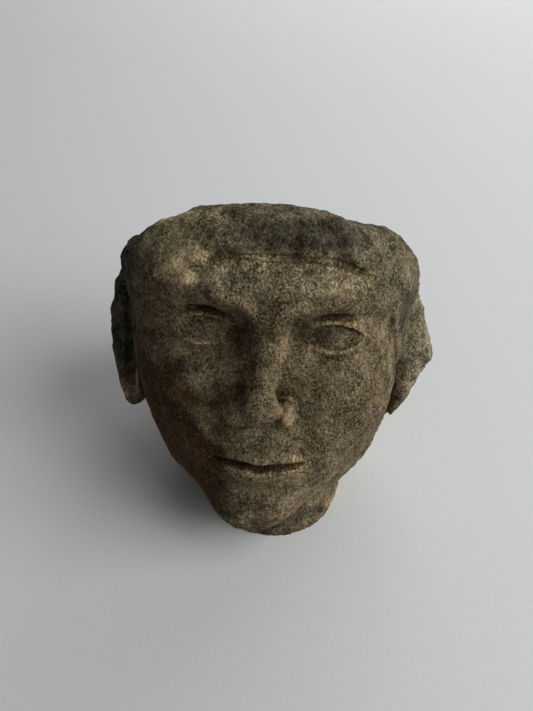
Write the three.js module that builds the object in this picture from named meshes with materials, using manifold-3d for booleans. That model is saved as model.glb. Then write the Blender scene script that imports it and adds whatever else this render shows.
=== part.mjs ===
// Carved stone head, broken off at the neck, standing on the flat break with its face tipped up.
// One solid block: face, close hair cap, ears and neck stump. Millimetres, +Z up, face towards -Y.
import * as THREE from "three";
import Module from "manifold-3d";
import { mergeVertices } from "three/addons/utils/BufferGeometryUtils.js";

const wasm = await Module();
wasm.setup();

// Driving dimensions in the head's own upright frame: chin at z 0, face towards -Y, X to its left.
// The jaw, cheeks, eyes, wings of the nose and ear roots are given at positive x and repeated at negative x.
const LEAN = 28;
const FLOOR = [0, -24, -11];
const HEAD_SKIN = { centre: [0, 5, 62], grid: 27, pole: [0, -1, -0.1], crowd: 1.8 };
const LEFT_EAR_SKIN = { centre: [58, 7, 66], grid: 9, pole: [1, 0, 0], crowd: 1.2 };
const RIGHT_EAR_SKIN = { centre: [-58, 8, 61], grid: 9, pole: [-1, 0, 0], crowd: 1.2 };

const SKULL = { at: [-2, 4, 91], half: [61, 51, 56] };
const FACE = { at: [0, -8, 53], half: [50, 39.5, 47], blend: 20 };
const JAW = { from: [32, 2, 34], to: [7.5, -32, 11.5], radii: [16, 10], blend: 20 };
const CHIN = { at: [0, -36.5, 12], half: [14, 12, 12.5], blend: 12 };
const CHEEK = { at: [29, -23, 59], half: [19, 18, 19], blend: 16 };
const FOREHEAD = { at: [-1, -17, 108], half: [49, 29.5, 30], blend: 16 };
const TEMPLES = [
  { at: [34.5, -4, 104], half: [22.5, 30, 18], blend: 8 },
  { at: [-38.6, -2, 103], half: [24, 32, 20], blend: 8 },
];
const JAW_UNDER = { through: [0, -38, -1], normal: [0, 0.38, -0.925], blend: 8 };
const THROAT = { from: [2, 2, 40], to: [8, -2, -30], radii: [31, 25.5], blend: 8 };
const NAPE = { from: [0, 24, 60], to: [0, 24, -8], radii: [42, 34], blend: 14 };

const FACE_FRONT = { y: -22, fade: 12 };
const BROW = { z: 90.5, rise: 6.5, inner: 2, span: 50, half: 8.5, under: 1.1, raise: 2.6 };
const BROW_FADE = { inner: 10, outer: 14, middle: 0.45 };
const SOCKET = { at: [24, -52.5, 83.5], half: [15, 10.8, 9.2], blend: 8 };
const EYE_CORNER = { at: [12, -51.5, 84], half: [5.5, 8, 8], blend: 7 };
const EYE = { at: [24, -32.3, 82.5], radius: 11.3, width: 25.5, upper: 4.8, lower: 3.2, tilt: 0.5, blend: 2.2 };
const LID = { upper: 1.9, lower: 1.4, lap: 0.4, edge: 1.9 };
const LID_FADE = { below: 6.5, soft: 4, side: 14.5, sideSoft: 3.5 };
const LID_FOLD = { above: 3.7, half: 1.8, width: 1.2, depth: 0.9 };
const BRIDGE = { from: [0, -42.5, 90], to: [0, -56, 62], radii: [3.8, 4.8], blend: 7 };
const NOSE_TIP = { at: [0, -57, 58], half: [7.4, 7, 6.6], blend: 5 };
const WING = { at: [8.5, -50.5, 55.2], half: [5, 7.4, 5.6], blend: 5 };
const MUZZLE = { at: [0, -33.7, 33], half: [26, 14, 19], blend: 13 };
const UPPER_LIP = { z: 36.8, half: 5.4, width: 22, raise: 2.5 };
const LOWER_LIP = { z: 27.6, half: 6, width: 19, raise: 3.1 };
const MOUTH = { z: 32.4, curl: 0.9, half: 2.8, width: 22, depth: 2.3 };
const PHILTRUM = { z: 43, half: 6, width: 4.5, depth: 0.9 };
const CHIN_HOLLOW = { z: 20, half: 6, width: 18, depth: 1.6 };
const CHEEK_FOLD = { x: 15, slant: 0.22, from: 52, width: 6, low: 36, high: 60, fade: 8, depth: 0.7 };

const HAIR = { fringe: 115, flat: 16, fall: 0.013 };
const HAIR_TEMPLE = { x: 42, fade: 16, drop: 30 };
const HAIR_NAPE = { y: 12, fade: 10, drop: 50 };
const HAIR_EDGE = { raise: 2.6, soft: 3, groove: 1.2, grooveHalf: 2 };
const HAIR_WORN = { side: 36, sideFade: 14, sideLoss: 0.65, sideSoft: 2.5, x: -34, fade: 30, keep: 0.4 };
const EAR_ROOT = { at: [51, 18, 67], half: [11, 18, 24], blend: 8 };
const LEFT_EAR = { at: [59, 9, 59], half: [19, 17, 36] };
const LEFT_EAR_BREAKS = [
  { through: [64, 8, 90], normal: [0.9, -0.12, 0.42], blend: 2 },
  { through: [74, 8, 67], normal: [0.83, -0.08, -0.55], blend: 2 },
  { through: [63, -4, 68], normal: [0.42, -0.9, 0.1], blend: 3 },
];
const RIGHT_EAR = { at: [-62.5, 10, 63], half: [11.5, 15, 33] };
const RIGHT_EAR_BREAKS = [
  { through: [-73.8, 8, 64], normal: [-0.975, -0.1, -0.2], blend: 3 },
  { through: [-63, -3, 66], normal: [-0.3, -0.95, 0], blend: 3 },
];
const LEFT_SLIT = { x: 52.5, y: -5, halfX: 5, halfY: 11, low: 30, high: 68, fade: 14, depth: 3.5 };
const RIGHT_SLIT = { x: -62, y: -3, halfX: 5, halfY: 10, low: 32, high: 94, fade: 16, depth: 3 };

const TOP_BREAK = { through: [0, -40, 132.6], normal: [0.01, 0.34, 0.94], blend: 13 };
const SIDE_BREAK = { through: [-49.5, -30, 119.4], normal: [-0.55, 0.1, 0.83], blend: 6 };
const TOP_CHIP = { at: [40, -26, 133], half: [21, 22, 8], blend: 5 };
const WEAR_DEPTH = 0.35;
const WEAR_WAVES = [
  { pace: [0.11, 0.05, 0.03], start: 1.3 },
  { pace: [-0.04, 0.12, 0.07], start: 0.4 },
  { pace: [0.06, -0.08, 0.11], start: 2.1 },
  { pace: [-0.13, 0.02, 0.1], start: 4 },
];

// How a net is drawn onto a form, and the size of the room that cuts the floor
const WALK = { steps: 80, stride: 0.85, back: 3, ahead: 8 };
const EVEN = { rounds: 4, slide: 0.5, nudge: 0.35, flattest: 0.5, furthest: 1.5 };
const ROOM = 400;

// Small helpers on distances and fades
const length = Math.hypot;
const clamp = (t, low, high) => Math.min(Math.max(t, low), high);

function ramp(t) {
  const u = clamp(t, 0, 1);
  return u * u * (3 - 2 * u);
}

function bump(t) {
  const u = clamp(Math.abs(t), 0, 1);
  return (1 - u * u) ** 2;
}

function join(a, b, blend) {
  const h = clamp(0.5 + (0.5 * (b - a)) / blend, 0, 1);
  return b + (a - b) * h - blend * h * (1 - h);
}

function remove(a, b, blend) {
  return -join(-a, b, blend);
}

// Signed distances to an ellipsoid and a tapered rod; negative inside
function ball([x, y, z], { at, half }) {
  const q = [x - at[0], y - at[1], z - at[2]];
  const near = length(q[0] / half[0], q[1] / half[1], q[2] / half[2]);
  const slope = length(q[0] / half[0] ** 2, q[1] / half[1] ** 2, q[2] / half[2] ** 2) + 1e-9;
  return (near * (near - 1)) / slope;
}

function rod([x, y, z], { from, to, radii }) {
  const axis = [to[0] - from[0], to[1] - from[1], to[2] - from[2]];
  const q = [x - from[0], y - from[1], z - from[2]];
  const along = q[0] * axis[0] + q[1] * axis[1] + q[2] * axis[2];
  const t = clamp(along / (axis[0] ** 2 + axis[1] ** 2 + axis[2] ** 2), 0, 1);
  const gap = length(q[0] - t * axis[0], q[1] - t * axis[1], q[2] - t * axis[2]);
  return gap - (radii[0] + t * (radii[1] - radii[0]));
}

// Takes off what lies beyond a flat break
function cut(d, [x, y, z], { through, normal, blend }) {
  const side = [x - through[0], y - through[1], z - through[2]];
  const beyond = side[0] * normal[0] + side[1] * normal[1] + side[2] * normal[2];
  return remove(d, -beyond, blend);
}

// Skull, cheeks, jaw and chin run into one another
function block(p, twin) {
  let d = ball(p, SKULL);
  d = join(d, ball(p, FACE), FACE.blend);
  d = join(d, rod(twin, JAW), JAW.blend);
  d = join(d, ball(p, CHIN), CHIN.blend);
  d = join(d, ball(twin, CHEEK), CHEEK.blend);
  d = join(d, ball(p, FOREHEAD), FOREHEAD.blend);
  d = TEMPLES.reduce((body, temple) => join(body, ball(p, temple), temple.blend), d);
  return cut(d, p, JAW_UNDER);
}

function brow([side, , z]) {
  const arc = BROW.z + BROW.rise * Math.sin(Math.PI * clamp((side - BROW.inner) / BROW.span, 0, 1));
  const off = (z - arc) * (z < arc ? BROW.under : 1);
  const outer = ramp((BROW.span - side) / BROW_FADE.outer);
  const inner = BROW_FADE.middle + (1 - BROW_FADE.middle) * ramp((side - BROW.inner) / BROW_FADE.inner);
  return BROW.raise * bump(off / BROW.half) * outer * inner;
}

// A narrow ridge, a rounded tip and two wings
function nose(p, twin, body) {
  const ridge = join(body, rod(p, BRIDGE), BRIDGE.blend);
  const tip = join(ridge, ball(p, NOSE_TIP), NOSE_TIP.blend);
  return join(tip, ball(twin, WING), WING.blend);
}

// Raised lips, the line between them, the groove above and the hollow below
function mouth([side, , z]) {
  const patch = (form, middle) => bump((z - middle) / form.half) * bump(side / form.width);
  const line = MOUTH.z + MOUTH.curl * (side / MOUTH.width) ** 2;
  const upper = UPPER_LIP.raise * patch(UPPER_LIP, UPPER_LIP.z);
  const lower = LOWER_LIP.raise * patch(LOWER_LIP, LOWER_LIP.z);
  const grooves = MOUTH.depth * patch(MOUTH, line) + PHILTRUM.depth * patch(PHILTRUM, PHILTRUM.z);
  return upper + lower - grooves - CHIN_HOLLOW.depth * patch(CHIN_HOLLOW, CHIN_HOLLOW.z);
}

function cheekFold([side, , z]) {
  const off = side - (CHEEK_FOLD.x + CHEEK_FOLD.slant * (CHEEK_FOLD.from - z));
  const span = ramp((z - CHEEK_FOLD.low) / CHEEK_FOLD.fade) * ramp((CHEEK_FOLD.high - z) / CHEEK_FOLD.fade);
  return CHEEK_FOLD.depth * bump(off / CHEEK_FOLD.width) * span;
}

// Heights above the upper lid's edge and below the lower lid's edge, and the place along the eye
function lidEdges([side, , z]) {
  const along = (side - EYE.at[0]) / (EYE.width / 2);
  const arch = clamp(1 - along ** 2, 0, 1);
  const level = z - EYE.at[2] - EYE.tilt * along;
  return { along, level, above: level - EYE.upper * arch ** 0.8, below: -EYE.lower * arch ** 0.9 - level };
}

// An eyeball with raised lids round an almond opening
function eye(twin) {
  const { level, above, below } = lidEdges(twin);
  const upper = LID.upper * ramp((above + LID.lap) / LID.edge);
  const fade = ramp((LID_FADE.below - below) / LID_FADE.soft);
  const lower = LID.lower * ramp((below + LID.lap) / LID.edge) * fade;
  const reach = ramp((LID_FADE.side - Math.abs(twin[0] - EYE.at[0])) / LID_FADE.sideSoft);
  const radius = EYE.radius + (level > 0 ? upper : lower) * reach;
  return length(twin[0] - EYE.at[0], twin[1] - EYE.at[1], twin[2] - EYE.at[2]) - radius;
}

function face(p, twin) {
  const front = ramp((FACE_FRONT.y - p[1]) / FACE_FRONT.fade);
  let d = block(p, twin) - brow(twin) * front;
  d = remove(d, ball(twin, SOCKET), SOCKET.blend);
  d = remove(d, ball(twin, EYE_CORNER), EYE_CORNER.blend);
  d = join(d, ball(p, MUZZLE), MUZZLE.blend);
  d = nose(p, twin, d);
  d = d - mouth(twin) * front + cheekFold(twin) * front;
  d = join(d, eye(twin), EYE.blend);
  const { along, above } = lidEdges(twin);
  const fold = bump((above - LID_FOLD.above) / LID_FOLD.half) * bump(along / LID_FOLD.width);
  return d + LID_FOLD.depth * fold * front;
}

// Height above the cap's edge: level fringe, falling past the temples, then down behind the ears
function overHairEdge([side, y, z]) {
  const fringe = HAIR.fringe - HAIR.fall * Math.max(side - HAIR.flat, 0) ** 2;
  const temple = HAIR_TEMPLE.drop * ramp((side - HAIR_TEMPLE.x) / HAIR_TEMPLE.fade);
  return z - fringe + temple + HAIR_NAPE.drop * ramp((y - HAIR_NAPE.y) / HAIR_NAPE.fade);
}

// The cap's raised edge and the line cut under it, worn down at the temples and on the head's right
function hair(p, twin) {
  const over = overHairEdge(twin);
  const aside = ramp((twin[0] - HAIR_WORN.side) / HAIR_WORN.sideFade);
  const worn = HAIR_WORN.keep + (1 - HAIR_WORN.keep) * ramp((p[0] - HAIR_WORN.x) / HAIR_WORN.fade);
  const cap = ramp(over / (HAIR_EDGE.soft * (1 + HAIR_WORN.sideSoft * aside)) + 0.5);
  const groove = HAIR_EDGE.groove * bump((over + HAIR_EDGE.soft) / HAIR_EDGE.grooveHalf) * (1 - aside);
  return (HAIR_EDGE.raise * cap * (1 - HAIR_WORN.sideLoss * aside) - groove) * worn;
}

// The slit between an ear and the cheek
function slit([x, y, z], form) {
  const across = bump((x - form.x) / form.halfX) * bump((y - form.y) / form.halfY);
  const span = ramp((z - form.low) / form.fade) * ramp((form.high - z) / form.fade);
  return form.depth * across * span;
}

function leftEar(p) {
  return LEFT_EAR_BREAKS.reduce((d, flat) => cut(d, p, flat), ball(p, LEFT_EAR)) + slit(p, LEFT_SLIT);
}

function rightEar(p) {
  return RIGHT_EAR_BREAKS.reduce((d, flat) => cut(d, p, flat), ball(p, RIGHT_EAR)) + slit(p, RIGHT_SLIT);
}

// Shallow swells left by long wear
function wear(p) {
  const wave = ({ pace, start }) => Math.sin(p[0] * pace[0] + p[1] * pace[1] + p[2] * pace[2] + start);
  return WEAR_DEPTH * WEAR_WAVES.reduce((sum, form) => sum + wave(form), 0);
}

function head(p) {
  const twin = [Math.abs(p[0]), p[1], p[2]];
  let d = face(p, twin) - hair(p, twin);
  d = join(d, rod(p, THROAT), THROAT.blend);
  d = join(d, rod(p, NAPE), NAPE.blend);
  d = join(d, ball(twin, EAR_ROOT), EAR_ROOT.blend);
  d = d + slit(p, LEFT_SLIT) + slit(p, RIGHT_SLIT);
  d = cut(cut(d, p, TOP_BREAK), p, SIDE_BREAK);
  d = remove(d, ball(p, TOP_CHIP), TOP_CHIP.blend);
  return d + wear(p);
}

// Directions of a cube's grid spread evenly over a sphere, then crowded towards a pole
function directions({ grid, pole, crowd }) {
  const cube = new THREE.BoxGeometry(2, 2, 2, grid, grid, grid);
  cube.deleteAttribute("normal");
  cube.deleteAttribute("uv");
  const net = mergeVertices(cube);
  const place = net.attributes.position;
  const middle = new THREE.Vector3(...pole).normalize();
  for (let i = 0; i < place.count; i++) {
    const way = new THREE.Vector3().fromBufferAttribute(place, i);
    way.set(...way.toArray().map((v) => Math.tan((v * Math.PI) / 4))).normalize();
    const side = way.clone().addScaledVector(middle, -way.dot(middle)).normalize();
    const turn = 2 * Math.atan(Math.tan(way.angleTo(middle) / 2) / crowd);
    way.copy(middle).multiplyScalar(Math.cos(turn)).addScaledVector(side, Math.sin(turn));
    place.setXYZ(i, ...way.toArray());
  }
  return net;
}

// Walks out from the centre along a direction until the surface of a form
function reachSurface(form, centre, way) {
  let reach = 0;
  for (let step = 0; step < WALK.steps; step++) {
    const gap = form(centre.map((v, i) => v + way[i] * reach));
    reach += clamp(-gap * WALK.stride, -WALK.back, WALK.ahead);
  }
  return centre.map((v, i) => v + way[i] * reach);
}

function slopeAt(form, p) {
  const value = form(p);
  const rise = [0, 1, 2].map((i) => form(p.map((v, k) => v + (k === i ? EVEN.nudge : 0))) - value);
  return new THREE.Vector3(...rise).divideScalar(EVEN.nudge);
}

function neighboursOf(index, count) {
  const near = Array.from({ length: count }, () => new Set());
  for (let i = 0; i < index.count; i += 3) {
    const corners = [0, 1, 2].map((k) => index.getX(i + k));
    corners.forEach((a) => corners.forEach((b) => a !== b && near[a].add(b)));
  }
  return near.map((set) => [...set]);
}

// Evens a net out by sliding each point towards its neighbours along the surface
function evenOut(form, points, near) {
  return points.map((p, i) => {
    const mean = near[i].reduce((sum, k) => sum.add(new THREE.Vector3(...points[k])), new THREE.Vector3());
    const move = mean.divideScalar(near[i].length).sub(new THREE.Vector3(...p));
    const slope = slopeAt(form, p);
    const steep = slope.length();
    slope.divideScalar(steep);
    move.addScaledVector(slope, -move.dot(slope)).multiplyScalar(EVEN.slide);
    const moved = new THREE.Vector3(...p).add(move);
    const off = form(moved.toArray()) / Math.max(steep, EVEN.flattest);
    const back = clamp(off, -EVEN.furthest, EVEN.furthest);
    return moved.addScaledVector(slope, -back).toArray();
  });
}

// Wraps a net round a form
function skin(form, layout) {
  const net = directions(layout);
  const place = net.attributes.position;
  const ways = Array.from({ length: place.count }, (_, i) => [place.getX(i), place.getY(i), place.getZ(i)]);
  const near = neighboursOf(net.index, place.count);
  let points = ways.map((way) => reachSurface(form, layout.centre, way));
  for (let round = 0; round < EVEN.rounds; round++) {
    points = evenOut(form, points, near);
  }
  points.forEach((p, i) => place.setXYZ(i, ...p));
  return net;
}

function solid(geometry) {
  const vertProperties = new Float32Array(geometry.attributes.position.array);
  const triVerts = new Uint32Array(geometry.index.array);
  return new wasm.Manifold(new wasm.Mesh({ numProp: 3, vertProperties, triVerts }));
}

function geometryOf(manifold) {
  const mesh = manifold.getMesh();
  const geometry = new THREE.BufferGeometry();
  geometry.setAttribute("position", new THREE.BufferAttribute(new Float32Array(mesh.vertProperties), 3));
  geometry.setIndex(new THREE.BufferAttribute(new Uint32Array(mesh.triVerts), 1));
  return geometry;
}

// The room above the floor plane, tipped into the head's own frame
function roomAboveFloor() {
  const room = new THREE.BoxGeometry(ROOM, ROOM, ROOM).translate(0, 0, ROOM / 2);
  room.deleteAttribute("normal");
  room.deleteAttribute("uv");
  room.rotateX(THREE.MathUtils.degToRad(LEAN)).translate(...FLOOR);
  return mergeVertices(room);
}

// Leans the cut block back onto its flat break, with the middle of its box over the origin
function stand(geometry) {
  geometry.translate(...FLOOR.map((v) => -v)).rotateX(THREE.MathUtils.degToRad(-LEAN));
  geometry.computeBoundingBox();
  const middle = geometry.boundingBox.getCenter(new THREE.Vector3());
  return geometry.translate(-middle.x, -middle.y, 0);
}

const whole = solid(skin(head, HEAD_SKIN))
  .add(solid(skin(leftEar, LEFT_EAR_SKIN)))
  .add(solid(skin(rightEar, RIGHT_EAR_SKIN)))
  .intersect(solid(roomAboveFloor()));
const stone = new THREE.MeshStandardMaterial({ color: 0x5d5343, roughness: 0.93, metalness: 0 });
const carved = new THREE.Mesh(stand(geometryOf(whole)), stone);
carved.name = "head";

const object = new THREE.Group();
object.add(carved);
export default object;
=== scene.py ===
"""Weathered carved stone head standing on its broken neck, on a pale surface in soft light from the right."""
import math

import bpy
import numpy as np
from mathutils import Matrix, Vector, noise


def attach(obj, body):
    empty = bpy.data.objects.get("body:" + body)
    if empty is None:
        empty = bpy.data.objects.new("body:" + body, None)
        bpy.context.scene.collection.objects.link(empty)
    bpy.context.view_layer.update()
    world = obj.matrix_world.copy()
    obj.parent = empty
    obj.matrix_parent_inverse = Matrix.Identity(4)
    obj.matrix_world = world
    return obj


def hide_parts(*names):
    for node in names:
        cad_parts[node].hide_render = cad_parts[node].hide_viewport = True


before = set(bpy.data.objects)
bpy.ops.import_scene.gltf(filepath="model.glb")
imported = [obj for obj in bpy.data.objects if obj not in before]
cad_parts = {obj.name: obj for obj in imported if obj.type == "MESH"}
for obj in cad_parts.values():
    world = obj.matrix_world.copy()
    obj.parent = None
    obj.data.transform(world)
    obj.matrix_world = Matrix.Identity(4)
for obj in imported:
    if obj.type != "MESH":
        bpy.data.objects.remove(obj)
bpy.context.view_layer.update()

MM = 0.001

# The head's own upright frame, in millimetres: chin at z 0, face towards -Y, X to its left.
# The jaw, cheeks, eyes, wings of the nose and ear roots are given at positive x and repeated at negative x.
LEAN = 28
FLOOR = (0, -24, -11)

SKULL = dict(at=(-2, 4, 91), half=(61, 51, 56))
FACE = dict(at=(0, -8, 53), half=(50, 39.5, 47), blend=20)
JAW = dict(start=(32, 2, 34), end=(7.5, -32, 11.5), radii=(16, 10), blend=20)
CHIN = dict(at=(0, -36.5, 12), half=(14, 12, 12.5), blend=12)
CHEEK = dict(at=(29, -23, 59), half=(19, 18, 19), blend=16)
FOREHEAD = dict(at=(-1, -17, 108), half=(49, 29.5, 30), blend=16)
TEMPLES = (
    dict(at=(34, -4, 101.5), half=(22.3, 30, 17), blend=8),
    dict(at=(-38.6, -2, 103), half=(24, 32, 20), blend=8),
)
JAW_UNDER = dict(through=(0, -38, 0), normal=(0, 0.38, -0.925), blend=3)
THROAT = dict(start=(2, 2, 40), end=(8, -2, -30), radii=(31, 25.5), blend=2.5)
NAPE = dict(start=(0, 24, 60), end=(0, 24, -8), radii=(42, 34), blend=14)

FACE_FRONT = dict(y=-22, fade=12)
BROW = dict(z=90.5, rise=6.5, inner=2, span=50, half=7, under=1.4, lift=2.7)
BROW_FADE = dict(inner=10, outer=14, middle=0.45)
SOCKET = dict(at=(24, -53, 83), half=(15.5, 13, 10), blend=5)
EYE_CORNER = dict(at=(11.5, -51.5, 84), half=(5, 10, 8), blend=4)
EYE = dict(at=(24, -30.9, 82.5), radius=11.6, width=25, upper=5.2, lower=3.6, tilt=0.5, blend=1.6)
LID_CURVE = dict(upper=0.8, lower=0.9)
LID = dict(upper=3.3, lower=2.7, lap=0.4, edge=1.4)
LID_FADE = dict(below=6, soft=3.5, side=15, side_soft=3)
LID_FOLD = dict(above=3.9, half=1.7, width=1.05, depth=1.6)
BRIDGE = dict(start=(0, -42.5, 90), end=(0, -56, 62), radii=(3.8, 4.8), blend=7)
NOSE_TIP = dict(at=(0, -57, 58), half=(7.4, 7, 6.6), blend=4)
WING = dict(at=(9, -50.5, 55.2), half=(4.7, 7.4, 5.6), blend=2.5)
NOSTRIL = dict(at=(5, -54.2, 49.6), half=(2.9, 4.4, 3.6), blend=1.5)
MUZZLE = dict(at=(0, -33.7, 33), half=(26, 14, 19), blend=13)
MOUTH = dict(z=32.5, width=18.5, curl=0.8, bow=0.9, bow_half=5, half=2.2, depth=1)
UPPER_LIP = dict(thick=6.2, lift=2.4)
LOWER_LIP = dict(thick=7.4, lift=3)
LIP_CORNER = 0.1
PHILTRUM = dict(z=43, half=6, width=3.4, depth=1)
CHIN_HOLLOW = dict(z=20, half=6, width=18, depth=1.6)
CHEEK_FOLD = dict(x=15, slant=0.22, top=52, width=6, low=36, high=60, fade=8, depth=0.7)

HAIR = dict(fringe=115, flat=16, fall=0.014)
HAIR_TEMPLE = dict(x=42, fade=16, drop=30)
HAIR_NAPE = dict(y=12, fade=10, drop=50)
HAIR_EDGE = dict(lift=2.6, soft=3, groove=1.5, groove_half=2)
HAIR_WORN = dict(side=27, side_fade=14, side_loss=0.65, side_soft=2.5, x=-34, fade=30, keep=0.4)
EAR_ROOT = dict(at=(51, 18, 67), half=(11, 18, 24), blend=8)
LEFT_EAR = dict(at=(59, 9, 56.5), half=(19, 17, 39), blend=2)
LEFT_EAR_BREAKS = (
    dict(through=(64, 8, 89), normal=(0.9, -0.12, 0.42), blend=2),
    dict(through=(73.6, 8, 67), normal=(0.865, -0.08, -0.495), blend=2),
    dict(through=(63, -4, 68), normal=(0.42, -0.9, 0.1), blend=3),
)
RIGHT_EAR = dict(at=(-62.5, 10, 65), half=(11.5, 15, 36), blend=2)
RIGHT_EAR_BREAKS = (
    dict(through=(-73.8, 8, 64), normal=(-0.975, -0.1, -0.2), blend=3),
    dict(through=(-63, -3, 66), normal=(-0.3, -0.95, 0), blend=3),
)
LEFT_SLIT = dict(x=52.5, y=-5, half_x=3.4, half_y=10, low=26, high=66, fade=10, depth=6)
RIGHT_SLIT = dict(x=-62, y=-3, half_x=3.6, half_y=9, low=34, high=92, fade=12, depth=6)

TOP_BREAK = dict(through=(0, -40, 132.6), normal=(0.01, 0.34, 0.94), blend=13)
SIDE_BREAK = dict(through=(-49.5, -30, 119.4), normal=(-0.55, 0.1, 0.83), blend=6)
TOP_CHIP = dict(at=(40, -26, 133), half=(21, 22, 8), blend=5)
WEAR_DEPTH = 0.35
WEAR_WAVES = (
    dict(pace=(0.11, 0.05, 0.03), start=1.3),
    dict(pace=(-0.04, 0.12, 0.07), start=0.4),
    dict(pace=(0.06, -0.08, 0.11), start=2.1),
    dict(pace=(-0.13, 0.02, 0.1), start=4),
)

# The net of the surface: its cells widen from the front of the face to the back of the head, in
# millimetres. The floor lies halfway between two layers of points.
CELL = 0.96
BLOCK = 4
FRONT_SCALE, BACK_SCALE = 0.82, 1.22
NET_LOW = (-80, -24, -4)
NET_HIGH = (80, 128, 136)
FLOOR_LAYER = 3.5
BLOCK_MARGIN = 6.5
SLOPE_NUDGE = 0.35
EVEN_OUT = dict(rounds=2, share=0.5, longest=1.2, least_steep=0.5)

# Weathering: sizes and heights in millimetres. The front of the face is spared most of it. Lumps and grain
# stand out more in the rougher areas, and pits lie only in the pitted ones.
NOISE_SHIFT = (17.3, 5.1, 29.7)
NOISE_FADE, NOISE_GAP = 0.9, 2.1
PIT_SHIFT = (11.7, 23.9, 3.3)
SWELLS = dict(size=16, octaves=2, seed=1, height=0.7)
LUMPS = dict(size=6, octaves=3, seed=2, height=0.5, even=0.6)
GRAIN = dict(size=2.4, octaves=1, seed=3, height=0.3, even=0.8)
ROUGHER = dict(size=26, octaves=2, seed=4, gain=1.2)
PITS = dict(size=3.6, seed=5, height=0.9, reach=0.42, rim=0.3, warp=0.7)
PITTED = dict(size=9, octaves=2, seed=6, gain=2.2, least=0.1)
FLAKES = dict(size=19, octaves=2, seed=7, height=0.5, above=0.12, rim=0.12)
TORN_EAR = dict(x=60, fade=6, more=0.25)
SPARED = dict(front=8, side=48, side_fade=12, low=4, low_fade=16, high=108, high_fade=14, share=0.6)
HOLLOW = dict(even=0.45, lump=0.5, grain=0.35, pit=0.5)
FOOT = dict(top=0.8, fade=0.6)
# Reaches in millimetres for how closed in and how sharp each place is, which set the painted shade in creases
# and the painted highlight on keen edges
RELIEF_REACHES = (1.6, 4)

# Stains and one patch of painted shade, as soft patches in the head's own frame, with ragged edges
RAGGED = dict(size=13, octaves=3, seed=9, weight=0.45, wider=0.25, fade=0.9)
PATCHES = dict(
    soot_and_painted_shade=(
        dict(at=(4, -46, 120.5), half=(21, 15, 7)),
        dict(at=(24, -42, 121), half=(16, 15, 7)),
        dict(at=(-60, -14, 88), half=(15, 30, 26)),
        dict(at=(54, -20, 86), half=(9, 13, 17)),
        # Painted shade: this patch darkens the ear on the head's right, which lies in shadow
        dict(at=(-68, 6, 62), half=(12, 20, 36)),
        dict(at=(4, -26, -8), half=(44, 28, 14)),
        dict(at=(-20, 40, 112), half=(34, 26, 22)),
        dict(at=(38, 46, 84), half=(24, 22, 30)),
    ),
    rust=(
        dict(at=(-46, -30, 44), half=(34, 34, 44)),
        dict(at=(-30, -42, 24), half=(22, 24, 28)),
        dict(at=(-26, 50, 52), half=(20, 16, 15)),
    ),
    pale=(
        dict(at=(4, -48, 106), half=(42, 15, 10)),
        dict(at=(68, 2, 66), half=(15, 22, 36)),
        dict(at=(12, 56, 96), half=(30, 20, 26)),
    ),
    dusty=(
        dict(at=(-34, -38, 118), half=(24, 24, 12)),
        dict(at=(-34, -42, 103), half=(10, 12, 5)),
    ),
)
CAP_FADE = 6

# Camera, from the photograph: place in the model's frame in mm, focal length in pixels
IMAGE = (533, 711)
FOCAL_PX = 650
EYE_AT = (9, -204, 256)
PITCH, AZIMUTH, ROLL = 44.5, 2.9, 1.9
SENSOR_MM = 36
NEAR_CLIP = 0.01

# Lights, in metres, degrees and watts: a tall window on the right and a paler wall behind
LAMPS = (
    dict(name="window_low", azimuth=0, elevation=14, reach=1.8, size=(0.9, 0.9), power=16.5),
    dict(name="window_front", azimuth=-30, elevation=32, reach=1.8, size=(0.9, 0.9), power=10),
    dict(name="window_high", azimuth=0, elevation=52, reach=1.8, size=(0.9, 0.9), power=7.5),
    dict(name="wall_low", azimuth=92, elevation=13, reach=1.8, size=(1.2, 0.9), power=8),
    dict(name="wall_high", azimuth=66, elevation=31, reach=1.8, size=(1.2, 0.9), power=7.5),
)
LAMP_COLOUR = (1.0, 1.0, 1.0)
LAMP_AIM = 0.05
ROOM_COLOUR = (1.0, 1.0, 1.0)
ROOM_STRENGTH = 0.085
BOARD_HALF = 3.0


# Distances
def ramp(t):
    t = np.clip(t, 0, 1)
    return t * t * (3 - 2 * t)


def bump(t):
    t = np.clip(np.abs(t), 0, 1)
    return (1 - t * t) ** 2


def swell(t):
    """A rounded rise between 0 and 1, with crisp edges."""
    return np.clip(1 - (2 * t - 1) ** 2, 0, 1)


def join(a, b, blend):
    h = np.clip(0.5 + 0.5 * (b - a) / blend, 0, 1)
    return b + (a - b) * h - blend * h * (1 - h)


def remove(a, b, blend):
    return -join(-a, b, blend)


def length(q):
    return np.sqrt(np.einsum("ij,ij->i", q, q))


def ball(p, form):
    q = (p - form["at"]) / form["half"]
    near = length(q)
    return near * (near - 1) / (length(q / form["half"]) + 1e-9)


def rod(p, form):
    start = np.array(form["start"], float)
    axis = form["end"] - start
    t = np.clip((p - start) @ axis / (axis @ axis), 0, 1)
    first, last = form["radii"]
    return length(p - start - t[:, None] * axis) - (first + t * (last - first))


def cut(d, p, form):
    """Takes off what lies beyond a flat break."""
    beyond = (p - form["through"]) @ np.array(form["normal"])
    return remove(d, -beyond, form["blend"])


# The carved forms
def block(p, twin):
    """Skull, cheeks, jaw and chin run into one another."""
    d = ball(p, SKULL)
    d = join(d, ball(p, FACE), FACE["blend"])
    d = join(d, rod(twin, JAW), JAW["blend"])
    d = join(d, ball(p, CHIN), CHIN["blend"])
    d = join(d, ball(twin, CHEEK), CHEEK["blend"])
    d = join(d, ball(p, FOREHEAD), FOREHEAD["blend"])
    for temple in TEMPLES:
        d = join(d, ball(p, temple), temple["blend"])
    return cut(d, p, JAW_UNDER)


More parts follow.
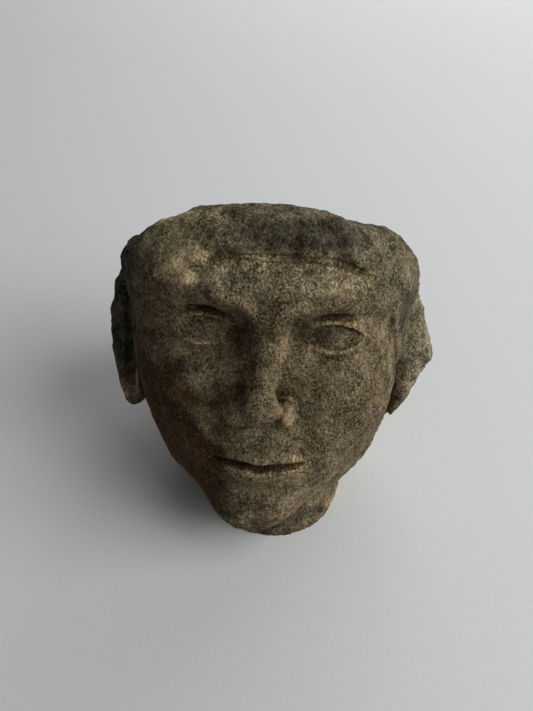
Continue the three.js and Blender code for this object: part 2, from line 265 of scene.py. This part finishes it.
def brow(side, z):
    arc = BROW["z"] + BROW["rise"] * np.sin(np.pi * np.clip((side - BROW["inner"]) / BROW["span"], 0, 1))
    off = (z - arc) * np.where(z < arc, BROW["under"], 1)
    outer = ramp((BROW["span"] - side) / BROW_FADE["outer"])
    middle = BROW_FADE["middle"]
    inner = middle + (1 - middle) * ramp((side - BROW["inner"]) / BROW_FADE["inner"])
    return BROW["lift"] * bump(off / BROW["half"]) * outer * inner


def nose(p, twin, d):
    """A narrow ridge, a rounded tip, and two wings over the nostrils."""
    d = join(d, rod(p, BRIDGE), BRIDGE["blend"])
    d = join(d, ball(p, NOSE_TIP), NOSE_TIP["blend"])
    d = join(d, ball(twin, WING), WING["blend"])
    return remove(d, ball(twin, NOSTRIL), NOSTRIL["blend"])


def mouth(side, z):
    """Lips that narrow to the corners, the line between them, the groove above and the hollow below."""
    def patch(form):
        return form["depth"] * bump((z - form["z"]) / form["half"]) * bump(side / form["width"])

    along = np.clip(side / MOUTH["width"], 0, 1)
    taper = np.sqrt(1 - along**2)
    line = MOUTH["z"] + MOUTH["curl"] * along**2 - MOUTH["bow"] * bump(side / MOUTH["bow_half"])
    upper = UPPER_LIP["lift"] * swell((z - line) / (UPPER_LIP["thick"] * taper + LIP_CORNER)) * taper
    lower = LOWER_LIP["lift"] * swell((line - z) / (LOWER_LIP["thick"] * taper + LIP_CORNER)) * taper
    between = MOUTH["depth"] * bump((z - line) / MOUTH["half"]) * ramp(taper * 2)
    return upper + lower - between - patch(PHILTRUM) - patch(CHIN_HOLLOW)


def cheek_fold(side, z):
    off = side - (CHEEK_FOLD["x"] + CHEEK_FOLD["slant"] * (CHEEK_FOLD["top"] - z))
    fade = CHEEK_FOLD["fade"]
    span = ramp((z - CHEEK_FOLD["low"]) / fade) * ramp((CHEEK_FOLD["high"] - z) / fade)
    return CHEEK_FOLD["depth"] * bump(off / CHEEK_FOLD["width"]) * span


def lid_edges(side, z):
    """Place along the eye, height above its middle, above the upper lid's edge and below the lower one's."""
    along = (side - EYE["at"][0]) / (EYE["width"] / 2)
    arch = np.clip(1 - along**2, 0, 1)
    level = z - EYE["at"][2] - EYE["tilt"] * along
    above = level - EYE["upper"] * arch ** LID_CURVE["upper"]
    below = -EYE["lower"] * arch ** LID_CURVE["lower"] - level
    return along, level, above, below


def eye(twin):
    """An eyeball with raised lids round an almond opening."""
    _, level, above, below = lid_edges(twin[:, 0], twin[:, 2])
    upper = LID["upper"] * ramp((above + LID["lap"]) / LID["edge"])
    lower = LID["lower"] * ramp((below + LID["lap"]) / LID["edge"])
    lower = lower * ramp((LID_FADE["below"] - below) / LID_FADE["soft"])
    reach = ramp((LID_FADE["side"] - np.abs(twin[:, 0] - EYE["at"][0])) / LID_FADE["side_soft"])
    return length(twin - EYE["at"]) - EYE["radius"] - np.where(level > 0, upper, lower) * reach


def face(p, twin):
    side, z = twin[:, 0], twin[:, 2]
    front = ramp((FACE_FRONT["y"] - p[:, 1]) / FACE_FRONT["fade"])
    d = block(p, twin) - brow(side, z) * front
    d = remove(d, ball(twin, SOCKET), SOCKET["blend"])
    d = remove(d, ball(twin, EYE_CORNER), EYE_CORNER["blend"])
    d = join(d, ball(p, MUZZLE), MUZZLE["blend"])
    d = nose(p, twin, d)
    d = d - mouth(side, z) * front + cheek_fold(side, z) * front
    d = join(d, eye(twin), EYE["blend"])
    along, _, above, _ = lid_edges(side, z)
    fold = bump((above - LID_FOLD["above"]) / LID_FOLD["half"]) * bump(along / LID_FOLD["width"])
    return d + LID_FOLD["depth"] * fold * front


def over_hair_edge(twin):
    """Height above the cap's edge: level fringe, falling past the temples, then down behind the ears."""
    side, y, z = twin.T
    fringe = HAIR["fringe"] - HAIR["fall"] * np.maximum(side - HAIR["flat"], 0) ** 2
    temple = HAIR_TEMPLE["drop"] * ramp((side - HAIR_TEMPLE["x"]) / HAIR_TEMPLE["fade"])
    return z - fringe + temple + HAIR_NAPE["drop"] * ramp((y - HAIR_NAPE["y"]) / HAIR_NAPE["fade"])


def hair(p, twin):
    """The cap's raised edge and the line cut under it, worn down at the temples and on the head's right."""
    over = over_hair_edge(twin)
    aside = ramp((twin[:, 0] - HAIR_WORN["side"]) / HAIR_WORN["side_fade"])
    worn = HAIR_WORN["keep"] + (1 - HAIR_WORN["keep"]) * ramp((p[:, 0] - HAIR_WORN["x"]) / HAIR_WORN["fade"])
    cap = ramp(over / (HAIR_EDGE["soft"] * (1 + HAIR_WORN["side_soft"] * aside)) + 0.5)
    groove = HAIR_EDGE["groove"] * bump((over + HAIR_EDGE["soft"]) / HAIR_EDGE["groove_half"]) * (1 - aside)
    return (HAIR_EDGE["lift"] * cap * (1 - HAIR_WORN["side_loss"] * aside) - groove) * worn


def ear(p, form, breaks):
    d = ball(p, form)
    for flat in breaks:
        d = cut(d, p, flat)
    return d


def slit(p, form):
    across = bump((p[:, 0] - form["x"]) / form["half_x"]) * bump((p[:, 1] - form["y"]) / form["half_y"])
    span = ramp((p[:, 2] - form["low"]) / form["fade"]) * ramp((form["high"] - p[:, 2]) / form["fade"])
    return form["depth"] * across * span


def ears(p, twin, d):
    """Broken ears, the stone behind them, and a slit between each ear and the cheek."""
    d = join(d, ball(twin, EAR_ROOT), EAR_ROOT["blend"])
    d = join(d, ear(p, LEFT_EAR, LEFT_EAR_BREAKS), LEFT_EAR["blend"])
    d = join(d, ear(p, RIGHT_EAR, RIGHT_EAR_BREAKS), RIGHT_EAR["blend"])
    return d + slit(p, LEFT_SLIT) + slit(p, RIGHT_SLIT)


def wear(p):
    """Shallow swells left by long wear."""
    return WEAR_DEPTH * sum(np.sin(p @ np.array(wave["pace"]) + wave["start"]) for wave in WEAR_WAVES)


def folded(p):
    """The points with those at negative x mirrored to positive x."""
    return p * (np.sign(p[:, :1]) * (1, 0, 0) + (0, 1, 1))


def head(p):
    twin = folded(p)
    d = face(p, twin) - hair(p, twin)
    d = join(d, rod(p, THROAT), THROAT["blend"])
    d = join(d, rod(p, NAPE), NAPE["blend"])
    d = ears(p, twin, d)
    d = cut(cut(d, p, TOP_BREAK), p, SIDE_BREAK)
    d = remove(d, ball(p, TOP_CHIP), TOP_CHIP["blend"])
    return d + wear(p)


# The standing frame
LEAN_TURN = np.array(Matrix.Rotation(math.radians(-LEAN), 3, "X"))


def upright(p):
    """From the standing frame, floor at z 0, back to the head's own frame."""
    return p @ LEAN_TURN + FLOOR


def standing(p):
    """Distance to the leaned head above the floor plane."""
    parts = [head(upright(part)) for part in np.array_split(p, len(p) // 100000 + 1)]
    return np.maximum(np.concatenate(parts), -p[:, 2])


# The net
def net_points():
    """Points of a grid whose spacing grows towards the back."""
    counts = [int(math.ceil((high - low) / CELL / BLOCK)) * BLOCK + 1 for low, high in zip(NET_LOW, NET_HIGH)]
    depth = np.linspace(0, 1, counts[1])
    scale = FRONT_SCALE + (BACK_SCALE - FRONT_SCALE) * depth
    steps = np.concatenate([[0], np.cumsum((scale[1:] + scale[:-1]) / 2)])
    y = NET_LOW[1] + (NET_HIGH[1] - NET_LOW[1]) * steps / steps[-1]
    x = (np.arange(counts[0]) - (counts[0] - 1) / 2) * CELL
    z = (np.arange(counts[2]) - FLOOR_LAYER) * CELL
    points = np.empty((*counts, 3))
    points[..., 0] = x[:, None, None] * scale[None, :, None]
    points[..., 1] = y[None, :, None]
    points[..., 2] = z[None, None, :] * scale[None, :, None]
    return points


def net_values(form, points):
    """Values at the grid's points: exact in the blocks near the surface, and of the right sign elsewhere."""
    coarse = points[::BLOCK, ::BLOCK, ::BLOCK]
    rough = form(coarse.reshape(-1, 3)).reshape(coarse.shape[:3])
    near = np.abs(rough)
    for axis in range(3):
        near = np.minimum(np.delete(near, -1, axis), np.delete(near, 0, axis))
    cells = near < BLOCK_MARGIN
    for axis in range(3):
        cells = np.repeat(cells, BLOCK, axis)
    busy = np.zeros(points.shape[:3], bool)
    busy[:-1, :-1, :-1] = cells
    busy[1:] |= busy[:-1]
    busy[:, 1:] |= busy[:, :-1]
    busy[:, :, 1:] |= busy[:, :, :-1]
    index = [np.minimum((np.arange(n) + BLOCK // 2) // BLOCK, (n - 1) // BLOCK) for n in points.shape[:3]]
    values = rough[np.ix_(*index)]
    values[busy] = form(points[busy])
    return values


def surface_net(form, points):
    """Vertices and quads on the zero surface: one vertex in each cell that it crosses."""
    values = net_values(form, points)
    shape = np.array(values.shape)
    flat = points.reshape(-1, 3)
    value = values.ravel()
    stride = np.array([shape[1] * shape[2], shape[2], 1])
    total = np.zeros((value.size, 3))
    count = np.zeros(value.size)
    rings = []
    for axis in range(3):
        here = np.flatnonzero((np.delete(values, -1, axis) < 0) != (np.delete(values, 0, axis) < 0))
        lattice = np.stack(np.unravel_index(here, shape - np.eye(3, dtype=int)[axis]), 1)
        first = lattice @ stride
        second = first + stride[axis]
        t = value[first] / (value[first] - value[second])
        spot = flat[first] + t[:, None] * (flat[second] - flat[first])
        a, b = stride[(axis + 1) % 3], stride[(axis + 2) % 3]
        ring = np.stack([first - a - b, first - b, first, first - a], 1)
        ring[value[first] > 0] = ring[value[first] > 0, ::-1]
        rings.append(ring)
        for cell in ring.T:
            for k in range(3):
                total[:, k] += np.bincount(cell, spot[:, k], value.size)
            count += np.bincount(cell, minlength=value.size)
    used = np.flatnonzero(count)
    number = np.zeros(value.size, int)
    number[used] = np.arange(len(used))
    return total[used] / count[used, None], number[np.concatenate(rings)]


def slopes(form, p):
    """Value, direction of rise and steepness at each point."""
    value = form(p)
    rise = np.stack([form(p + SLOPE_NUDGE * step) - value for step in np.eye(3)], 1) / SLOPE_NUDGE
    steep = length(rise)
    return value, rise / np.maximum(steep, 1e-6)[:, None], steep


def even_out(form, p, quads):
    """Slides each vertex towards its neighbours along the surface and back onto it."""
    source = np.concatenate([quads.ravel(), np.roll(quads, -1, 1).ravel()])
    target = np.concatenate([np.roll(quads, -1, 1).ravel(), quads.ravel()])
    shares = np.bincount(source, minlength=len(p))[:, None]
    longest = EVEN_OUT["longest"]
    for _ in range(EVEN_OUT["rounds"]):
        mean = np.stack([np.bincount(source, p[target, k], len(p)) for k in range(3)], 1) / shares
        _, normal, steep = slopes(form, p)
        move = (mean - p) * EVEN_OUT["share"]
        p = p + move - np.einsum("ij,ij->i", move, normal)[:, None] * normal
        off = form(p) / np.maximum(steep, EVEN_OUT["least_steep"])
        p = p - np.clip(off, -longest, longest)[:, None] * normal
    return p


# Weathering
def noise_at(p, layer):
    """Layered noise at each point, about -1 to 1, whose largest lumps are about the layer's size."""
    shift = Vector([layer["seed"] * part for part in NOISE_SHIFT])
    pace = 1 / layer["size"]
    return np.array([
        noise.fractal(Vector(q) * pace + shift, NOISE_FADE, NOISE_GAP, layer["octaves"]) for q in p.tolist()
    ])


def pits_at(p):
    """Scattered hollows with round rims, from 0 to 1."""
    shift = Vector([PITS["seed"] * part for part in PIT_SHIFT])
    pace = 1 / PITS["size"]
    near = np.array([noise.voronoi(Vector(q) * pace + shift)[0][0] for q in p.tolist()])
    return ramp((PITS["reach"] - near) / PITS["rim"])


def spared(own):
    """1 on the front of the face, fading to 0 at its sides, above the brows and under the chin."""
    side, y, z = np.abs(own[:, 0]), own[:, 1], own[:, 2]
    front = ramp((FACE_FRONT["y"] - y) / SPARED["front"])
    middle = front * ramp((SPARED["side"] - side) / SPARED["side_fade"])
    over_chin = middle * ramp((z - SPARED["low"]) / SPARED["low_fade"])
    return over_chin * ramp((SPARED["high"] - z) / SPARED["high_fade"])


def weather(p, own, normal):
    """Moves the vertices in and out, and returns how hollow each place is, from 0 to 1."""
    swells = noise_at(p, SWELLS)
    lump = noise_at(p, LUMPS)
    grain = noise_at(p, GRAIN)
    face_front = spared(own)
    calm = 1 - SPARED["share"] * face_front
    torn = TORN_EAR["more"] * ramp((own[:, 0] - TORN_EAR["x"]) / TORN_EAR["fade"])
    rough = ramp(0.5 + ROUGHER["gain"] * noise_at(p, ROUGHER)) + torn - SPARED["share"] * face_front
    warped = p + np.stack([lump, grain, -lump], 1) * PITS["warp"]
    pit = pits_at(warped) * ramp(noise_at(p, PITTED) * PITTED["gain"] - PITTED["least"])
    flake = ramp((noise_at(p, FLAKES) - FLAKES["above"]) / FLAKES["rim"]) * (1 - face_front)
    out = SWELLS["height"] * swells
    out = out + LUMPS["height"] * lump * (LUMPS["even"] + rough)
    out = out + GRAIN["height"] * grain * (GRAIN["even"] + rough)
    out = out * calm - PITS["height"] * pit * calm - FLAKES["height"] * flake
    hollow = ramp(HOLLOW["even"] - HOLLOW["lump"] * lump - HOLLOW["grain"] * grain + HOLLOW["pit"] * pit)
    return p + out[:, None] * normal, hollow


def stain(own, ragged, patches):
    """How far each place lies inside any of the patches, from 0 to 1, with ragged edges."""
    inside = [1 - length((own - patch["at"]) / patch["half"]) for patch in patches]
    return ramp((np.max(inside, 0) + RAGGED["weight"] * ragged + RAGGED["wider"]) / RAGGED["fade"])


def relief(p, normal):
    """How closed in and how sharp each place is: 0 on even rounds, 1 in deep creases or on keen edges."""
    nook = np.max([1 - standing(p + reach * normal) / reach for reach in RELIEF_REACHES], 0)
    edge = np.max([1 + standing(p - reach * normal) / reach for reach in RELIEF_REACHES], 0)
    return np.clip(nook, 0, 1), np.clip(edge, 0, 1)


def head_mesh():
    """The weathered head, centred over the frame's origin, with its marks stored at the vertices."""
    p, quads = surface_net(standing, net_points())
    p = even_out(standing, p, quads)
    _, normal, _ = slopes(standing, p)
    own = upright(p)
    middle = (p.min(0) + p.max(0)) / 2
    foot = ramp((FOOT["top"] - p[:, 2]) / FOOT["fade"])
    nook, edge = relief(p, normal)
    moved, hollow = weather(p, own, normal)
    p = moved + (p - moved) * foot[:, None]
    p[:, 2] = np.maximum(p[:, 2], 0)
    p[:, :2] -= middle[:2]
    mesh = bpy.data.meshes.new("stone_head")
    mesh.from_pydata((p * MM).tolist(), [], quads.tolist())
    mesh.validate()
    mesh.shade_smooth()
    # nook sets the painted shade in creases, edge the painted highlight on keen edges
    marks = dict(hollow=hollow, nook=nook, edge=edge, cap=ramp(over_hair_edge(folded(own)) / CAP_FADE + 0.5))
    ragged = noise_at(own, RAGGED)
    for name, patches in PATCHES.items():
        marks[name] = stain(own, ragged, patches)
    for name, values in marks.items():
        layer = mesh.attributes.new(name, "FLOAT", "POINT")
        layer.data.foreach_set("value", np.ascontiguousarray(values, np.float32))
    return mesh


# Materials
class Shader:
    """Short calls for building one material's nodes."""

    def __init__(self, name):
        self.material = bpy.data.materials.new(name)
        self.material.use_nodes = True
        self.tree = self.material.node_tree
        self.surface = self.tree.nodes["Principled BSDF"]

    def add(self, kind, settings=None, **inputs):
        node = self.tree.nodes.new(kind)
        for key, value in (settings or {}).items():
            setattr(node, key, value)
        for key, value in inputs.items():
            self.put(node.inputs[key], value)
        return node

    def put(self, socket, value):
        if isinstance(value, bpy.types.NodeSocket):
            self.tree.links.new(value, socket)
        else:
            socket.default_value = value

    def place(self):
        return self.add("ShaderNodeTexCoord").outputs["Object"]

    def value(self, name):
        return self.add("ShaderNodeAttribute", {"attribute_name": name}).outputs["Fac"]

    def noise(self, place, scale, detail, rough, warp=0.0):
        """Scale is in lumps to the metre."""
        node = self.add("ShaderNodeTexNoise", Vector=place, Scale=scale, Detail=detail)
        self.put(node.inputs["Roughness"], rough)
        self.put(node.inputs["Distortion"], warp)
        return node.outputs["Fac"]

    def cells(self, place, scale):
        return self.add("ShaderNodeTexVoronoi", Vector=place, Scale=scale).outputs["Distance"]

    def math(self, kind, a, b=0.0, c=0.0):
        node = self.tree.nodes.new("ShaderNodeMath")
        node.operation = kind
        for socket, value in zip(node.inputs, (a, b, c)):
            self.put(socket, value)
        return node.outputs[0]

    def between(self, value, low, high):
        node = self.add("ShaderNodeMapRange", {"interpolation_type": "SMOOTHSTEP"})
        for key, number in (("Value", value), ("From Min", low), ("From Max", high)):
            self.put(node.inputs[key], number)
        return node.outputs[0]

    def blend(self, factor, a, b, kind="MIX"):
        node = self.add("ShaderNodeMix", {"data_type": "RGBA", "blend_type": kind})
        self.put(node.inputs["Factor"], factor)
        for socket, value in ((node.inputs[6], a), (node.inputs[7], b)):
            self.put(socket, value)
        return node.outputs[2]

    def tint(self, factor, colour, tint):
        """Multiplies the colour by the tint, by as much as the factor says."""
        return self.blend(factor, colour, self.blend(1.0, colour, tint, "MULTIPLY"))

    def bumps(self, height, distance, strength, normal=None):
        node = self.add("ShaderNodeBump", Height=height, Distance=distance, Strength=strength)
        if normal is not None:
            self.put(node.inputs["Normal"], normal)
        return node.outputs["Normal"]


# The stone's own colours, linear, each above the darkest with the span of tone that brings it in
DARKEST = (0.036, 0.0265, 0.0145, 1)
TONES = (
    dict(colour=(0.090, 0.067, 0.037, 1), low=0.48, high=0.62),
    dict(colour=(0.191, 0.147, 0.084, 1), low=0.58, high=0.74),
    dict(colour=(0.337, 0.268, 0.165, 1), low=0.72, high=0.90),
)
# Tone is made of these noises, as lumps to the metre, detail, roughness and warp
MOTTLE = (110, 5, 0.95)
DRIFT = (27, 3, 0.55, 0.5)
GRAIN_TONE = (1150, 2, 0.9)
SPECKLED = (130, 3, 0.7)
SPECKLE_GAIN, SPECKLE_LEAST = 2.7, -0.35
DRIFT_SHARE = 0.25
HOLLOW_SHARE = 0.06

# What each stain multiplies the stone's colour by, in the order that they lie on it; the soot tint also lays
# the painted shade on the ear
STAINS = dict(
    pale=(1.72, 1.79, 1.85, 1),
    dusty=(2.8, 2.75, 2.66, 1),
    soot_and_painted_shade=(0.50, 0.52, 0.56, 1),
    rust=(0.43, 0.29, 0.19, 1),
)
STREAKS = (60, 4, 0.7, 0.4)
STAIN_SPREAD = dict(streaks=2.0, low=1.15, high=1.95)

# The hair cap is a little greyer, keen edges get a painted highlight, creases get painted shade, and a few
# specks are ochre
ASHEN = (0.85, 0.905, 0.96, 1)
# Painted highlight: lightens keen edges by how sharp they are
EDGE_HIGHLIGHT = dict(colour=(1.9, 1.85, 1.75, 1), low=0.12, high=0.6)
# Painted shade: darkens creases and recesses by how closed in they are
CREASE_SHADE = dict(colour=(0.30, 0.26, 0.22, 1), low=0.12, high=0.7)
OCHRE = dict(colour=(0.20, 0.085, 0.040, 1), cells=110, rim=0.12, core=0.04)
OCHRE_AREAS = dict(noise=(45, 2, 0.5), low=0.58, high=0.62)

# Gloss, and the finest relief, whose distances are in metres
STONE_ROUGHNESS = dict(least=0.8, mottle=0.2)
STONE_SPECULAR = 0.12
PORES = dict(cells=700, distance=0.0006, strength=0.7)
COARSE = dict(noise=(380, 4, 0.75), distance=0.0008, strength=0.8)
FINE = dict(distance=0.0004, strength=0.7)

BOARD_COLOURS = ((0.74, 0.76, 0.755, 1), (0.78, 0.80, 0.795, 1))
BOARD_CLOUDS = (3, 4, 0.5)
BOARD_TOOTH = dict(noise=(300, 3, 0.6), distance=0.0003, strength=0.3)
BOARD_ROUGHNESS = 0.8
BOARD_SPECULAR = 0.25


def stone_tone(s, place, mottle, grain):
    """Mottling, fine grain that is stronger in some areas than in others, wide drifts and dust in hollows."""
    speckle = s.math("MULTIPLY_ADD", s.noise(place, *SPECKLED), SPECKLE_GAIN, SPECKLE_LEAST)
    tone = s.math("MULTIPLY_ADD", s.math("SUBTRACT", grain, 0.5), speckle, mottle)
    tone = s.math("MULTIPLY_ADD", s.noise(place, *DRIFT), DRIFT_SHARE, tone)
    return s.math("MULTIPLY_ADD", s.value("hollow"), HOLLOW_SHARE, tone)


def stone_colour(s, place, tone):
    colour = DARKEST
    for step in TONES:
        colour = s.blend(s.between(tone, step["low"], step["high"]), colour, step["colour"])
    streaks = s.noise(place, *STREAKS)
    for mark, tint in STAINS.items():
        reach = s.math("MULTIPLY_ADD", streaks, STAIN_SPREAD["streaks"], s.value(mark))
        colour = s.tint(s.between(reach, STAIN_SPREAD["low"], STAIN_SPREAD["high"]), colour, tint)
    colour = s.tint(s.value("cap"), colour, ASHEN)
    # Painted highlight on keen edges, painted shade in creases and recesses
    for mark, change in (("edge", EDGE_HIGHLIGHT), ("nook", CREASE_SHADE)):
        colour = s.tint(s.between(s.value(mark), change["low"], change["high"]), colour, change["colour"])
    few = s.between(s.noise(place, *OCHRE_AREAS["noise"]), OCHRE_AREAS["low"], OCHRE_AREAS["high"])
    dots = s.between(s.cells(place, OCHRE["cells"]), OCHRE["rim"], OCHRE["core"])
    return s.blend(s.math("MULTIPLY", dots, few), colour, OCHRE["colour"])


def stone_material():
    s = Shader("weathered_stone")
    place = s.place()
    mottle = s.noise(place, *MOTTLE)
    grain = s.noise(place, *GRAIN_TONE)
    tone = stone_tone(s, place, mottle, grain)
    s.put(s.surface.inputs["Base Color"], stone_colour(s, place, tone))
    roughness = s.math("MULTIPLY_ADD", mottle, STONE_ROUGHNESS["mottle"], STONE_ROUGHNESS["least"])
    s.put(s.surface.inputs["Roughness"], roughness)
    s.surface.inputs["Specular IOR Level"].default_value = STONE_SPECULAR
    pores = s.bumps(s.cells(place, PORES["cells"]), PORES["distance"], PORES["strength"])
    coarse = s.bumps(s.noise(place, *COARSE["noise"]), COARSE["distance"], COARSE["strength"], pores)
    s.put(s.surface.inputs["Normal"], s.bumps(grain, FINE["distance"], FINE["strength"], coarse))
    return s.material


def board_material():
    s = Shader("pale_board")
    place = s.place()
    s.put(s.surface.inputs["Base Color"], s.blend(s.noise(place, *BOARD_CLOUDS), *BOARD_COLOURS))
    s.surface.inputs["Roughness"].default_value = BOARD_ROUGHNESS
    s.surface.inputs["Specular IOR Level"].default_value = BOARD_SPECULAR
    tooth = s.noise(place, *BOARD_TOOTH["noise"])
    s.put(s.surface.inputs["Normal"], s.bumps(tooth, BOARD_TOOTH["distance"], BOARD_TOOTH["strength"]))
    return s.material


# The setting
def add_object(name, data):
    made = bpy.data.objects.new(name, data)
    bpy.context.scene.collection.objects.link(made)
    return made


def build_head():
    mesh = head_mesh()
    mesh.materials.append(stone_material())
    piece = add_object("stone_head", mesh)
    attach(piece, "root")
    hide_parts("head")


def build_floor():
    mesh = bpy.data.meshes.new("board")
    corners = [(x * BOARD_HALF, y * BOARD_HALF, 0) for x, y in ((-1, -1), (1, -1), (1, 1), (-1, 1))]
    mesh.from_pydata(corners, [], [(0, 1, 2, 3)])
    mesh.materials.append(board_material())
    add_object("board", mesh)


def area_light(name, azimuth, elevation, reach, size, power):
    """A soft rectangle facing the head: azimuth from +X towards +Y, in degrees; reach and size in metres."""
    around, up = math.radians(azimuth), math.radians(elevation)
    away = Vector((math.cos(around) * math.cos(up), math.sin(around) * math.cos(up), math.sin(up))) * reach
    light = bpy.data.lights.new(name, "AREA")
    light.shape = "RECTANGLE"
    light.size, light.size_y = size
    light.energy = power
    light.color = LAMP_COLOUR
    lamp = add_object(name, light)
    lamp.visible_camera = False
    lamp.location = away + Vector((0, 0, LAMP_AIM))
    lamp.rotation_euler = (-away).to_track_quat("-Z", "Y").to_euler()


def build_lights():
    for lamp in LAMPS:
        area_light(**lamp)
    world = bpy.data.worlds.new("room")
    world.use_nodes = True
    background = world.node_tree.nodes["Background"]
    background.inputs["Color"].default_value = (*ROOM_COLOUR, 1)
    background.inputs["Strength"].default_value = ROOM_STRENGTH
    bpy.context.scene.world = world


def build_camera():
    pitch, azimuth, roll = (math.radians(angle) for angle in (PITCH, AZIMUTH, ROLL))
    forth = (-math.sin(azimuth) * math.cos(pitch), math.cos(azimuth) * math.cos(pitch))
    ahead = Vector((*forth, -math.sin(pitch)))
    level = Vector((math.cos(azimuth), math.sin(azimuth), 0))
    upward = level.cross(ahead)
    right = level * math.cos(roll) + upward * math.sin(roll)
    top = upward * math.cos(roll) - level * math.sin(roll)
    camera = bpy.data.cameras.new("camera")
    camera.sensor_width = SENSOR_MM
    camera.lens = FOCAL_PX / max(IMAGE) * camera.sensor_width
    camera.clip_start = NEAR_CLIP
    seat = add_object("camera", camera)
    turn = Matrix((right, top, -ahead)).transposed().to_4x4()
    seat.matrix_world = Matrix.Translation(Vector(EYE_AT) * MM) @ turn
    bpy.context.scene.camera = seat


build_head()
build_floor()
build_lights()
build_camera()
bpy.context.scene.view_settings.view_transform = "Standard"
